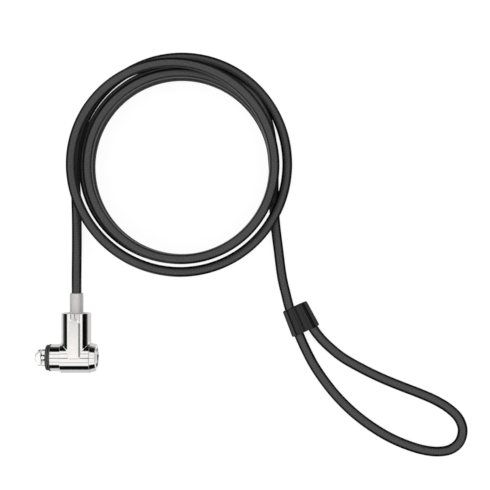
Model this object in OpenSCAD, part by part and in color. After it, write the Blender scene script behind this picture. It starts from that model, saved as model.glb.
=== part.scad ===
// Keyed cable lock for a laptop's security slot.
// The origin is the middle of the rubber bumper's front face, on the lock axis.
// +X runs towards the key end, +Y along the stem towards the cable, +Z up.
// The lock lies on its side on a flat surface, with its cable coiled beside it.

/* [Housing] */
// Outside diameter of the housing's sleeve
housing_d = 12.2; // [11.8:0.1:14]
// Length of the housing's sleeve along the lock axis
sleeve_len = 11.8; // [11.4:0.1:13]
// Outside diameter of the stem
stem_d = 12; // [11.6:0.1:13]
// Reach of the stem from the lock axis
stem_len = 18; // [17:0.1:24]
// Diameter of the bore in the stem's end
stem_bore_d = 8.4; // [8.2:0.1:9]
// Width of the raised pad at its foot
pad_w = 5.25; // [4:0.05:7]
// Width of the bevel along the pad's sides
pad_bevel = 0.7; // [0.3:0.05:1]
// Reach of the pad's straight sides from the lock axis
pad_len = 13.7; // [8:0.1:14.5]
// Height of the arch that ends the pad
pad_arch = 1.9; // [1:0.1:2.6]
// Diameter of the pin that holds the bush in the stem
bush_pin_d = 1.2; // [0.8:0.1:1.6]

/* [Barrel] */
// Diameter of the barrel's nose behind the bumper
nose_d = 10.8; // [10.2:0.1:12]
// Length of the nose
nose_len = 3.85; // [3:0.05:5]
// Diameter of the barrel inside the housing
barrel_d = 9.6; // [9.3:0.05:9.8]
// Diameter of the bore that holds the pin block and the rotor
cylinder_d = 8.5; // [8.45:0.05:8.8]
// Length of the cone ring at the key end
cap_len = 2.05; // [1.8:0.05:3]
// Diameter of the cone ring at its foot
cap_d = 12; // [11.6:0.1:13]
// Diameter of the cone ring at the key face
cap_face_d = 10.5; // [10.2:0.1:11]
// Thickness of the cone ring's lip over the barrel's end
cap_lip = 1; // [0.6:0.05:1.2]
// Width of the rounding at the lip's rim
cap_round = 0.3; // [0.1:0.05:0.4]

/* [Bumper and guard] */
// Length of the rubber bumper
bumper_len = 2.1; // [1.9:0.05:3]
// Diameter of the bumper at the laptop's side
bumper_front_d = 10.2; // [9.8:0.1:10.6]
// Diameter of the bumper against the nose
bumper_d = 10.9; // [10.7:0.1:12]
// Length of the bumper's smaller step
bumper_step = 1.05; // [0.8:0.05:1.4]
// Thickness of rubber in front of the guard plate
bumper_face = 0.6; // [0.4:0.05:0.8]
// Width of the slot through the bumper's face, as wide as the laptop's own
slot_w = 7; // [6.95:0.05:7.2]
// Height of that slot
slot_h = 3; // [2.95:0.05:3.2]
// Diameter of the guard plate
guard_d = 8.2; // [7.8:0.1:8.8]
// Thickness of the guard plate
guard_t = 0.8; // [0.6:0.05:1]
// Width over the two guard prongs
prong_w = 6.7; // [6:0.05:6.9]
// Thickness of the prongs
prong_t = 2.7; // [2.2:0.05:2.8]
// Reach of the prongs in front of the bumper
prong_reach = 1.4; // [1:0.05:2]
// Diameter of the guard plate's rivets
rivet_d = 1; // [0.8:0.05:1.2]
// Distance of the rivets from the lock axis
rivet_r = 2.9; // [2.6:0.05:3.2]
// Length of the rivets
rivet_len = 3.4; // [2:0.1:4]

/* [T-bar] */
// Width of the T-shaped head
head_w = 6.8; // [6:0.05:6.9]
// Thickness of the head
head_t = 2.8; // [2.2:0.05:2.9]
// Length of the head, from its back to the tip of its nose
head_len = 3.1; // [2.4:0.05:3.6]
// Length of the head's straight sides
head_side = 1.3; // [0.8:0.05:1.6]
// Gap between the head and the prongs
head_gap = 0.37; // [0.3:0.01:0.6]
// Diameter of the T-bar's shaft
shaft_d = 2.4; // [2.1:0.05:2.6]
// Diameter of the neck where it meets the head
neck_d = 1.4; // [1.2:0.05:2]
// Depth of the shaft's socket in the rotor
shaft_socket = 2.4; // [2:0.1:2.6]
// Diameter of the pin across the rotor and the shaft
cross_pin_d = 0.8; // [0.6:0.05:1]
// Reach of that pin past the shaft
cross_pin_past = 0.6; // [0.4:0.05:0.9]
// Turn of the key from open to locked, in degrees
key_turn = 90; // [60:5:120]

/* [Key cylinder] */
// Number of pin stacks
pin_count = 7; // [4:1:7]
// Diameter of the pins
pin_d = 1.1; // [0.9:0.05:1.15]
// Distance of the pins from the lock axis
pin_circle_r = 3.2; // [3.15:0.01:3.25]
// Length of the pin block
block_len = 4.9; // [4.6:0.1:5.2]
// Length of the driver pins
driver_len = 2; // [1.5:0.1:2.4]
// Length of the compressed pin springs
spring_len = 2.5; // [1.8:0.1:2.6]
// Length of the key pins
key_pin_len = 3.6; // [3.2:0.1:4.4]
// Thickness of the rotor's flange
flange_len = 3; // [2.6:0.1:3.1]
// Diameter of the round post that fits inside the key
post_d = 5.1; // [4.9:0.05:5.2]
// Length of the ring that lines the socket
ring_len = 2.3; // [2:0.1:2.6]
// Diameter of the socket round the key
socket_d = 7.7; // [7.6:0.05:7.8]
// Width of the key's index notch
notch_w = 1.2; // [0.8:0.1:1.6]
// Depth of the index notch into the socket's wall
notch_depth = 0.65; // [0.4:0.05:0.9]
// Turn of the index notch from straight down, in degrees
notch_turn = 9; // [0:1:30]
// Diameter of the rotor's stop cam
cam_d = 6.6; // [6.4:0.1:7.6]
// Thickness of the stop cam
cam_t = 0.9; // [0.6:0.05:1]
// Thickness of the thrust washer
washer_t = 0.3; // [0.2:0.05:0.4]
// Diameter of the thrust washer
washer_d = 4; // [3.6:0.1:4.1]
// Diameter of the stop pin
stop_pin_d = 1; // [0.8:0.05:1.1]
// Distance of the stop pin from the lock axis
stop_pin_r = 2.6; // [2.6:0.05:2.7]
// Depth of the stop pin in the front wall
stop_pin_depth = 2; // [1.5:0.1:2.5]
// Diameter of the pin that holds the pin block in the barrel
block_pin_d = 1; // [0.8:0.05:1.2]
// Depth of that pin below the barrel's surface
block_pin_len = 2.2; // [1.6:0.1:2.4]
// Distance of that pin from the block's inner end
block_pin_in = 1.6; // [1.2:0.1:2.4]

/* [Cable end] */
// Outside diameter of the ferrule
ferrule_d = 5.4; // [5.2:0.1:5.8]
// Length of the ferrule outside the stem
ferrule_out = 7.9; // [5:0.1:10]
// Width of the chamfer on the ferrule's end
ferrule_chamfer = 0.3; // [0.1:0.05:0.5]
// Diameter of the ferrule's flange inside the stem
flange_d = 7.6; // [7.2:0.1:7.8]
// Thickness of that flange
ferrule_flange = 1.8; // [1.4:0.1:2]
// Length of the bush in the stem's end
bush_len = 2.8; // [2.2:0.1:3]
// Thickness of the washer on the ferrule's flange
swivel_washer_t = 0.4; // [0.3:0.05:0.5]
// Length of jacketed cable inside the ferrule
jacket_in = 5; // [3:0.1:6]

/* [Cable] */
// Diameter of the cable over its jacket
cable_d = 4; // [3.4:0.05:4.1]
// Diameter of the bare steel core
core_d = 2.6; // [2:0.05:2.8]

/* [Coil] */
// Radius of the coil's outer turn at its sides
outer_r = 42.7; // [42:0.1:46]
// Extra radius of the outer turn at its top and bottom
outer_bulge = 0.6; // [0:0.1:1]
// Radius of the stacked inner turns
inner_r = 37; // [34:0.1:37.4]
// Height of one stacked turn above the next
stack_pitch = 4.5; // [4.5:0.05:5]

/* [Eye sleeve] */
// Length of the sleeve that closes the eye
eye_len = 11; // [9:0.1:14]
// Diameter of each half of the sleeve
eye_d = 5.6; // [5.5:0.1:6.4]
// Distance between the two cable runs at the sleeve's upper end
eye_gap_top = 4.4; // [4.2:0.1:5]
// Distance between the two cable runs at the sleeve's lower end
eye_gap_low = 6.2; // [5.2:0.1:6.6]
// Thickness of the web between the halves
eye_web = 3.6; // [3:0.1:4]
// Length of jacketed cable inside each end of the sleeve
eye_end = 1.5; // [1:0.1:2]
// Diameter of each barrel of the metal crimp
crimp_d = 4.6; // [4.2:0.1:4.8]
// Thickness of the crimp's web
crimp_web = 2.4; // [2:0.1:2.8]

/* [Fits] */
// Gap between faces of pieces that turn past each other
face_gap = 0.3; // [0.25:0.01:0.4]
// Running clearance in radius
run_fit = 0.05; // [0.02:0.01:0.1]
// Gap between the pin block, the rotor and the socket ring
shear_gap = 0.1; // [0.06:0.01:0.15]

/* [Hidden] */
$fn = 64;

// Stations along the lock axis
guard_x = bumper_face;
spigot_x = guard_x + guard_t;
nose_end = bumper_len + nose_len;
sleeve_start = nose_end + face_gap;
sleeve_end = sleeve_start + sleeve_len;
stem_x = (sleeve_start + sleeve_end) / 2;
cap_start = sleeve_end + face_gap;
key_face = cap_start + cap_len;
barrel_end = key_face - cap_lip;
ring_start = barrel_end - ring_len;
flange_end = ring_start - shear_gap;
rotor_start = flange_end - flange_len;
block_end = rotor_start - shear_gap;
block_start = block_end - block_len;
cam_start = block_start - face_gap - cam_t;
cylinder_start = cam_start - washer_t;
head_back = -(prong_reach + head_gap);
head_tip = head_back - head_len;

// Stations along the stem
bush_start = stem_len - bush_len;
flange_top = bush_start - face_gap - swivel_washer_t;
ferrule_start = flange_top - ferrule_flange;
stem_floor = ferrule_start - face_gap;
ferrule_end = stem_len + ferrule_out;
jacket_start = ferrule_end - jacket_in;

// Depth of the blind holes below the pins
pin_hole_depth = driver_len + spring_len;
// Directions of the pins round the lock axis, counted from the index notch
pin_step = 360 / 8;
// Half angle of the stop pin as the cam sees it, with a little to spare
stop_spare = 1;
stop_half = asin(stop_pin_d / 2 / stop_pin_r) + stop_spare;
// Steps in the arch of the pad's outline
arch_steps = 10;
// Overshoot of a cutting solid past the face that it cuts
over = 1;

// Surface that the lock lies on
floor_z = -housing_d / 2;
cable_z = floor_z + cable_d / 2;
// Sides of the plain cable tubes and of the coil's tube
tube_sides = 10;
coil_sides = 6;
// Rings in each loop of the coil
loop_rings = 24;
// Middle of the outer turn and of the inner turns
outer_mid = [54.2, 77.9];
inner_mid = [54.5, 76.7];
// Angle wound from the coil's start, and where its radius changes
wound = 1620;
cross_from = 345;
cross_to = 537;
// Where the coil begins to climb, where it is at full height, and that height in turns
climb_from = 60;
climb_to = 455;
stack_turns = 3.11;
stack_top = stack_turns * stack_pitch;

// Upper middle and lean of the sleeve that closes the eye
eye_mid = [100, 20.45, floor_z + eye_d / 2];
eye_turn = -65.3;
eye_tilt = atan((eye_gap_low - eye_gap_top) / 2 / eye_len);
eye_down = [cos(eye_turn), sin(eye_turn), 0];
eye_right = [-sin(eye_turn), cos(eye_turn), 0];
// Where a cable run crosses the sleeve's upper or lower end
function eye_top(side) = eye_mid + side * eye_gap_top / 2 * eye_right;
function eye_low(side) = eye_mid + eye_len * eye_down + side * eye_gap_low / 2 * eye_right;

// Routes of the free cable, from the lock to the coil, on to the sleeve, and round the eye
lead_route = [
    [stem_x, ferrule_end, 0], [12.1, 31, -0.2], [12.1, 38, -0.9], [12, 47, -2.6],
    [11.8, 56, -3.8], [11.6, 65, cable_z], coil_start() - [0, cable_d, 0]];
tail_route = [
    coil_end() - [0, cable_d, 0], [91.6, 64, cable_z], [92.1, 55, cable_z], [93.4, 44, cable_z],
    [95, 32, cable_z], [96.6, 25, -3.8], eye_top(-1)];
eye_route = [
    eye_low(1), [109.8, 8.2, -3.7], [113.2, 5, cable_z], [119.5, 0, cable_z], [127, -4.7, cable_z],
    [135.2, -8.7, cable_z], [143.2, -12, cable_z], [150.7, -14.9, cable_z], [157.3, -17.8, cable_z],
    [162.7, -21.1, cable_z], [166.5, -24.8, cable_z], [168.2, -28.8, cable_z], [168, -32.4, cable_z],
    [166.5, -35.4, cable_z], [163.4, -37.7, cable_z], [158.7, -38.6, cable_z], [152.6, -38, cable_z],
    [145.6, -35.9, cable_z], [138, -32.5, cable_z], [130.4, -27.8, cable_z], [123.4, -22.3, cable_z],
    [117.2, -16.1, cable_z], [112, -9.6, cable_z], [107.8, -3.3, cable_z], [104.6, 2.8, -3.8],
    eye_low(-1)];

// Colours
chrome = [0.86, 0.86, 0.87];
satin = [0.78, 0.77, 0.75];
steel = [0.62, 0.63, 0.65];
brass = [0.78, 0.63, 0.32];
rubber = [0.17, 0.17, 0.18];
vinyl = [0.1, 0.1, 0.11];

// Stands a shape that rises from the origin along the lock axis at x
module along_x(x) translate([x, 0, 0]) rotate([0, 90, 0]) children();

// Stands a shape along the stem's axis at y
module along_y(y) translate([stem_x, y, 0]) rotate([-90, 0, 0]) children();

// Disc or shaft along the lock axis between two stations
module rod_x(d, x0, x1) along_x(x0) cylinder(h = x1 - x0, d = d);

// Disc or shaft along the stem's axis between two stations
module rod_y(d, y0, y1) along_y(y0) cylinder(h = y1 - y0, d = d);

// Turns a shape round the lock axis, counted from the index notch
module indexed(turn) rotate([notch_turn + turn, 0, 0]) children();

// Round pin parallel to the lock axis, at radius r in direction turn
module pin_x(d, x0, x1, r, turn) indexed(turn) translate([0, 0, -r]) rod_x(d, x0, x1);

// Round pin across the lock axis, from radius r_out in to radius r_in, in the notch's direction
module pin_in(d, x, r_out, r_in) indexed(0) translate([x, 0, -r_out]) cylinder(h = r_out - r_in, d = d);

// --- Housing, which turns round the barrel and round the cable's ferrule ---

// Outline of the raised pad: straight sides that end in a low arch
module pad_outline(w, inset)
    polygon(concat(
        [[w / 2, 0]],
        [for (i = [0:arch_steps]) let (a = 180 * i / arch_steps)
            [w / 2 * cos(a), pad_len + (pad_arch - inset) * sin(a)]],
        [[-w / 2, 0]]));

// The pad's top lies a hair under the sleeve's crest, so that the two run into each other
pad_sink = 0.02;

module raised_pad() {
    skin = 0.1;
    pad_top = housing_d / 2 - pad_sink;
    translate([stem_x, 0, 0])
        hull() {
            translate([0, 0, pad_top - pad_bevel - skin])
                linear_extrude(skin) pad_outline(pad_w, 0);
            translate([0, 0, pad_top - skin])
                linear_extrude(skin) pad_outline(pad_w - 2 * pad_bevel, pad_bevel);
        }
}

module t_housing()
    color(chrome)
        difference() {
            union() {
                rod_x(housing_d, sleeve_start, sleeve_end);
                rod_y(stem_d, 0, stem_len);
                raised_pad();
            }
            rod_x(barrel_d + 2 * run_fit, sleeve_start - over, sleeve_end + over);
            rod_y(stem_bore_d, stem_floor, stem_len + over);
            translate([0, 0, -stem_d / 2 - over]) bush_pin_bore(stem_d / 2 + over);
        }

// Upright bore or pin that crosses the stem's wall into the bush
module bush_pin_bore(h)
    translate([stem_x, (bush_start + stem_len) / 2, 0])
        cylinder(h = h, d = bush_pin_d);

module stem_bush()
    color(brass)
        difference() {
            rod_y(stem_bore_d, bush_start, stem_len);
            rod_y(ferrule_d + 2 * run_fit, bush_start - over, stem_len + over);
            translate([0, 0, -stem_d / 2]) bush_pin_bore(bush_pin_len);
        }

// The pin stops half way through the bush's wall
bush_pin_len = stem_d / 2 - (stem_bore_d + ferrule_d) / 4;
pin_sink = 0.1;

module bush_pin()
    color(steel)
        translate([0, 0, -stem_d / 2 + pin_sink]) bush_pin_bore(bush_pin_len - pin_sink);

// --- Barrel, which carries the bumper, the guard and the pin block ---

module barrel_shell()
    color(chrome)
        difference() {
            union() {
                rod_x(guard_d, spigot_x, bumper_len + over);
                rod_x(nose_d, bumper_len, nose_end);
                rod_x(barrel_d, nose_end - over, barrel_end);
            }
            rod_x(shaft_d + 2 * run_fit, spigot_x - over, cylinder_start + over);
            rod_x(cylinder_d, cylinder_start, barrel_end + over);
            pin_x(stop_pin_d, cylinder_start - stop_pin_depth, cylinder_start + over, stop_pin_r, 180);
            rivets(spigot_x - over, guard_x + rivet_len);
            pin_in(block_pin_d, block_pin_x, barrel_d / 2 + over, cylinder_d / 2 - over);
            index_notch();
        }

// Groove for the key's index rib, down the socket's wall to the rotor
module index_notch()
    indexed(0)
        translate([ring_start, -notch_w / 2, -socket_d / 2 - notch_depth])
            cube([key_face + over - ring_start, notch_w, socket_d / 2]);

module rivets(x0, x1)
    for (side = [-1, 1])
        translate([0, 0, side * rivet_r]) rod_x(rivet_d, x0, x1);

module guard_rivets()
    color(steel)
        rivets(guard_x, guard_x + rivet_len);

// Slot through the bumper's face for the head, the prongs and the shaft
module bumper_slot()
    translate([-over, -slot_w / 2, -slot_h / 2]) cube([2 * over, slot_w, slot_h]);

module bumper()
    color(rubber)
        difference() {
            union() {
                rod_x(bumper_front_d, 0, bumper_step);
                rod_x(bumper_d, bumper_step, bumper_len);
            }
            rod_x(guard_d, guard_x, bumper_len + over);
            bumper_slot();
        }

// One prong: its inner side starts at prong_root and leans away from the shaft by prong_lean,
// and its outer corner is cut by prong_edge
prong_root = shaft_d / 2 + run_fit;
prong_lean = 0.45;
prong_edge = 0.25;

module prong(side)
    translate([0, 0, -prong_t / 2])
        linear_extrude(prong_t)
            polygon([
                [guard_x + guard_t / 2, side * prong_root],
                [guard_x + guard_t / 2, side * prong_w / 2],
                [-prong_reach + prong_edge, side * prong_w / 2],
                [-prong_reach, side * (prong_w / 2 - prong_edge)],
                [-prong_reach, side * (prong_root + prong_lean)],
                [0, side * prong_root]]);

module guard_plate()
    color(steel)
        difference() {
            union() {
                rod_x(guard_d, guard_x, spigot_x);
                for (side = [-1, 1]) prong(side);
            }
            rod_x(shaft_d + 2 * run_fit, -over, spigot_x + over);
            rivets(guard_x - over, spigot_x + over);
        }

// Cone ring pressed on the barrel's end: its lip closes over the socket ring
module end_cap()
    color(chrome)
        difference() {
            along_x(cap_start)
                rotate_extrude()
                    polygon([
                        [0, 0], [cap_d / 2, 0], [cap_face_d / 2, cap_len - cap_round],
                        [cap_face_d / 2 - cap_round / 3, cap_len - cap_round / 3],
                        [cap_face_d / 2 - cap_round, cap_len], [0, cap_len]]);
            rod_x(barrel_d, cap_start - over, barrel_end);
            rod_x(socket_d, barrel_end - over, key_face + over);
            index_notch();
        }

module socket_ring()
    color(steel)
        difference() {
            rod_x(cylinder_d, ring_start, barrel_end);
            rod_x(socket_d, ring_start - over, barrel_end + over);
            index_notch();
        }

module stop_pin()
    color(steel)
        pin_x(stop_pin_d, cylinder_start - stop_pin_depth, cam_start + cam_t, stop_pin_r, 180);

module thrust_washer()
    color(brass)
        difference() {
            rod_x(washer_d, cylinder_start, cam_start);
            rod_x(shaft_d + 2 * face_gap, cylinder_start - over, cam_start + over);
        }

// Clearance hole for one stack of pins
module pin_hole(i, x0, x1) pin_x(pin_d + 2 * run_fit, x0, x1, pin_circle_r, pin_step * i);

block_pin_x = block_start + block_pin_in;

module pin_block()
    color(brass)
        difference() {
            rod_x(cylinder_d, block_start, block_end);
            rod_x(shaft_d + 2 * run_fit, block_start - over, block_end + over);
            for (i = [1:pin_count]) pin_hole(i, block_end - pin_hole_depth, block_end + over);
            pin_in(block_pin_d, block_pin_x, cylinder_d / 2 + over, barrel_d / 2 - block_pin_len);
        }

module block_pin()
    color(steel)
        pin_in(block_pin_d, block_pin_x, barrel_d / 2, barrel_d / 2 - block_pin_len);

module driver_pin(i)
    color(brass)
        pin_x(pin_d, block_end - driver_len, block_end, pin_circle_r, pin_step * i);

module pin_spring(i)
    color(steel)
        difference() {
            pin_x(pin_d, block_end - pin_hole_depth, block_end - driver_len, pin_circle_r, pin_step * i);
            pin_x(pin_d / 2, block_end - pin_hole_depth - over, block_end - driver_len + over,
                pin_circle_r, pin_step * i);
        }

// --- Rotor, which the key turns together with the T-bar ---

module key_rotor()
    color(satin)
        difference() {
            union() {
                rod_x(cylinder_d - 2 * run_fit, rotor_start, flange_end);
                rod_x(post_d, flange_end - over, key_face);
            }
            rod_x(shaft_d, rotor_start - over, rotor_start + shaft_socket);
            for (i = [1:pin_count]) pin_hole(i, rotor_start - over, flange_end + over);
            pin_in(cross_pin_d, cross_pin_x, cylinder_d / 2, cross_pin_in);
        }

cross_pin_x = rotor_start + shaft_socket / 2;
cross_pin_in = -shaft_d / 2 - cross_pin_past;

module cross_pin()
    color(steel)
        pin_in(cross_pin_d, cross_pin_x, cylinder_d / 2 - 2 * run_fit - pin_sink, cross_pin_in);

module key_pin(i)
    color(brass)
        pin_x(pin_d, rotor_start, rotor_start + key_pin_len, pin_circle_r, pin_step * i);

// Flat bar with a round nose, on a neck that widens into the shaft
module t_bar() {
    sag = head_len - head_side;
    nose_r = (head_w * head_w / 4 + sag * sag) / (2 * sag);
    color(steel)
        difference() {
            union() {
                intersection() {
                    translate([head_tip, -head_w / 2, -head_t / 2]) cube([head_len, head_w, head_t]);
                    translate([head_tip + nose_r, 0, -head_t / 2]) cylinder(h = head_t, r = nose_r);
                }
                along_x(head_back) cylinder(h = -head_back, d1 = neck_d, d2 = shaft_d);
                rod_x(shaft_d, 0, rotor_start + shaft_socket);
            }
            pin_in(cross_pin_d, cross_pin_x, cylinder_d / 2, cross_pin_in);
        }
}

// Disc with a wide notch: the stop pin meets the notch's ends at the two ends of the key's turn
module stop_cam()
    color(steel)
        difference() {
            rod_x(cam_d, cam_start, cam_start + cam_t);
            rod_x(shaft_d, cam_start - over, cam_start + cam_t + over);
            difference() {
                along_x(cam_start - over) rotate(notch_turn + 180) linear_extrude(cam_t + 2 * over) cam_notch();
                rod_x(2 * stop_pin_r - stop_pin_d - run_fit * 2, cam_start - 2 * over, cam_start + 2 * over);
            }
        }

// Pie slice that holds the stop pin over the whole turn
module cam_notch() {
    first = -key_turn - stop_half;
    sweep = key_turn + 2 * stop_half;
    slices = 6;
    polygon(concat(
        [[0, 0]],
        [for (i = [0:slices]) let (a = first + sweep * i / slices) cam_d * [cos(a), sin(a)]]));
}

// --- Cable end inside the stem ---

module cable_ferrule()
    color(satin)
        difference() {
            union() {
                rod_y(flange_d, ferrule_start, flange_top);
                rod_y(ferrule_d, ferrule_start, ferrule_end - ferrule_chamfer);
                along_y(ferrule_end - ferrule_chamfer)
                    cylinder(h = ferrule_chamfer, d1 = ferrule_d, d2 = ferrule_d - 2 * ferrule_chamfer);
            }
            rod_y(core_d, ferrule_start - over, jacket_start + over);
            rod_y(cable_d, jacket_start, ferrule_end + over);
        }

module swivel_washer()
    color(steel)
        difference() {
            rod_y(flange_d, flange_top, flange_top + swivel_washer_t);
            rod_y(ferrule_d, flange_top - over, flange_top + swivel_washer_t + over);
        }

module cable_core_end()
    color(steel)
        rod_y(core_d, ferrule_start, jacket_start);

module cable_jacket_end()
    color(vinyl)
        rod_y(cable_d, jacket_start, ferrule_end);

// --- Free cable ---

function unit(v) = v / norm(v);

// Smooth step from 0 to 1 between two angles
function ease(from, to, t) =
    let (s = min(1, max(0, (t - from) / (to - from))))
    s * s * (3 - 2 * s);

// Middle of the coil's tube after winding t degrees clockwise from its left side.
// The outer turn climbs over both ends of the cable, crosses inwards at the top of the
// coil, and the inner turns come down in one stack.
function coil_point(t) =
    let (
        e = ease(cross_from, cross_to, t),
        r = (outer_r + outer_bulge * sin(t) * sin(t)) * (1 - e) + inner_r * e,
        middle = outer_mid * (1 - e) + inner_mid * e,
        rise = stack_top * (t - climb_from) / (climb_to - climb_from),
        fall = stack_pitch * (wound - t) / 360,
        lift = max(0, min(rise, stack_top, fall)))
    [middle.x - r * cos(t), middle.y + r * sin(t), cable_z + lift];

function coil_start() = coil_point(0);
function coil_end() = coil_point(wound);

// The coil's line, with a straight end of one diameter before and after the turns
coil_line = concat(
    [coil_start() - [0, cable_d, 0]],
    [for (i = [0:wound * loop_rings / 360]) coil_point(i * 360 / loop_rings)],
    [coil_end() - [0, cable_d, 0]]);

// Ring of n points round c, square to the direction t, with one point straight below c
function ring(c, t, n) =
    let (
        side = unit(cross(t, [0, 0, 1])),
        up = cross(side, t))
    [for (k = [0:n - 1]) let (a = 90 + 360 * k / n) c + cable_d / 2 * (cos(a) * side + sin(a) * up)];

// Direction of a line at its point i, between given directions at its two ends
function heading(line, i, first, last) =
    i == 0 ? first :
    i == len(line) - 1 ? last :
    unit(unit(line[i + 1] - line[i]) + unit(line[i] - line[i - 1]));

// Closed tube of n sides along a line, in triangles
module tube(line, first, last, n) {
    m = len(line);
    points = [for (i = [0:m - 1]) each ring(line[i], heading(line, i, first, last), n)];
    sides = [for (i = [0:m - 2], k = [0:n - 1])
        let (
            a = i * n + k,
            b = i * n + (k + 1) % n)
        each [[a, b, b + n], [a, b + n, a + n]]];
    start = [for (k = [1:n - 2]) [0, k + 1, k]];
    e = (m - 1) * n;
    end = [for (k = [1:n - 2]) [e, e + k, e + k + 1]];
    polyhedron(points = points, faces = concat(start, sides, end));
}

module cable_lead() color(vinyl) tube(lead_route, [0, 1, 0], [0, 1, 0], tube_sides);

module cable_coil() color(vinyl) tube(coil_line, [0, 1, 0], [0, -1, 0], coil_sides);

module cable_tail() color(vinyl) tube(tail_route, [0, -1, 0], eye_down, tube_sides);

module cable_eye() color(vinyl) tube(eye_route, eye_down, -eye_down, tube_sides);

// Least distance between points of the coil half a turn or more apart, less the cable
coil_gap = min([for (i = [0:len(coil_line) - 1], j = [i + loop_rings / 2:len(coil_line) - 1])
    norm(coil_line[i] - coil_line[j])]) - cable_d;
echo(coil_gap_mm = coil_gap);

// --- Sleeve that closes the eye ---

// Stands a shape on the sleeve's upper end, rising towards its lower end
module on_eye() translate(eye_mid) rotate([0, 0, eye_turn]) rotate([0, 90, 0]) children();

// Round run of one half of the sleeve, trimmed between two stations
module eye_run(side, d, z0, z1)
    intersection() {
        translate([0, side * eye_gap_top / 2, 0])
            rotate([-side * eye_tilt, 0, 0])
                translate([0, 0, -eye_len]) cylinder(h = 3 * eye_len, d = d);
        eye_slab(z0, z1);
    }

module eye_slab(z0, z1) translate([-eye_len, -eye_len, z0]) cube([2 * eye_len, 2 * eye_len, z1 - z0]);

// Two runs side by side, joined by a web
module eye_pair(d, web, z0, z1)
    union() {
        for (side = [-1, 1]) eye_run(side, d, z0, z1);
        translate([-web / 2, -eye_gap_top / 2, z0]) cube([web, eye_gap_top, z1 - z0]);
    }

module eye_sleeve()
    color(vinyl)
        on_eye()
            difference() {
                eye_pair(eye_d, eye_web, 0, eye_len);
                eye_pair(crimp_d, crimp_web, eye_end, eye_len - eye_end);
                eye_jackets(over);
            }

// Jacketed cable at the sleeve's three open mouths
module eye_jackets(out) {
    eye_run(-1, cable_d, -out, eye_end);
    for (side = [-1, 1]) eye_run(side, cable_d, eye_len - eye_end, eye_len + out);
}

module eye_jacket_ends()
    color(vinyl)
        on_eye() eye_jackets(0);

module eye_crimp()
    color(satin)
        on_eye()
            difference() {
                eye_pair(crimp_d, crimp_web, eye_end, eye_len - eye_end);
                for (side = [-1, 1]) eye_run(side, core_d, 0, eye_len);
            }

module eye_strands()
    color(steel)
        on_eye()
            for (side = [-1, 1]) eye_run(side, core_d, eye_end, eye_len - eye_end);

cable_ferrule();
swivel_washer();
cable_core_end();
cable_jacket_end();
cable_lead();
cable_coil();
cable_tail();
cable_eye();
eye_sleeve();
eye_crimp();
eye_strands();
eye_jacket_ends();
t_housing();
stem_bush();
bush_pin();
barrel_shell();
bumper();
guard_plate();
guard_rivets();
end_cap();
socket_ring();
stop_pin();
thrust_washer();
pin_block();
block_pin();
t_bar();
stop_cam();
key_rotor();
cross_pin();
for (i = [1:pin_count]) {
    driver_pin(i);
    key_pin(i);
    pin_spring(i);
}
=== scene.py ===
import math

import bmesh
import bpy
import numpy as np
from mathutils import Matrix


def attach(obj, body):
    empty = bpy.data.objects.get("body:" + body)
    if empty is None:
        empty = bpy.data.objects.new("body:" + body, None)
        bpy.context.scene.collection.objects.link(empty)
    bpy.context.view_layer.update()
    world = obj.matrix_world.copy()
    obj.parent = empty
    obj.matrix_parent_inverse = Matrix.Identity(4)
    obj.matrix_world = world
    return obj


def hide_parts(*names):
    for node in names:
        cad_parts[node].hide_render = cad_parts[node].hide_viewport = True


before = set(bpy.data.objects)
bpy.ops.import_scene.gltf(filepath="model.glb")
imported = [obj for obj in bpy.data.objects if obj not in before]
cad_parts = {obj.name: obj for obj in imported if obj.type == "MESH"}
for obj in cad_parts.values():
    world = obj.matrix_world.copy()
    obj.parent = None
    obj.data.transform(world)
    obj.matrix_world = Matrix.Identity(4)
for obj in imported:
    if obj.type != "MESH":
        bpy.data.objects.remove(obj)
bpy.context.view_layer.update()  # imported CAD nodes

mm = 0.001

cameraSettings = {
    "place": (79.9, 45.3, 430.0),  # mm, straight above the middle of the set
    "lens": 78.52,
    "sensor": 36.0,
}


def makeCamera():
    data = bpy.data.cameras.new("topCamera")
    data.sensor_width = cameraSettings["sensor"]
    data.lens = cameraSettings["lens"]
    data.clip_start, data.clip_end = 0.01, 20
    camera = bpy.data.objects.new("topCamera", data)
    camera.location = [c * mm for c in cameraSettings["place"]]
    bpy.context.scene.collection.objects.link(camera)
    bpy.context.scene.camera = camera


makeCamera()
print("stage: camera")


# Puts vertices and lists of corners into a mesh object; uv is one pair per face corner
def meshFromArrays(name, points, faces, uv=None, smooth=True):
    data = bpy.data.meshes.new(name)
    data.from_pydata(np.asarray(points, dtype=float).tolist(), [], faces)
    if uv is not None:
        layer = data.uv_layers.new(name="surface")
        layer.data.foreach_set("uv", np.asarray(uv, dtype=np.float32).ravel())
    data.polygons.foreach_set("use_smooth", np.full(len(data.polygons), smooth))
    data.update()
    piece = bpy.data.objects.new(name, data)
    bpy.context.scene.collection.objects.link(piece)
    return piece


pieceFinishes = []


# Gives a piece its body and finish, and hides the CAD nodes that it stands for; slot is not used
def assign(piece, body, slot, finish, *nodes):
    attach(piece, body)
    if nodes:
        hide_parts(*nodes)
    pieceFinishes.append((piece, finish))
    return piece


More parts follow.
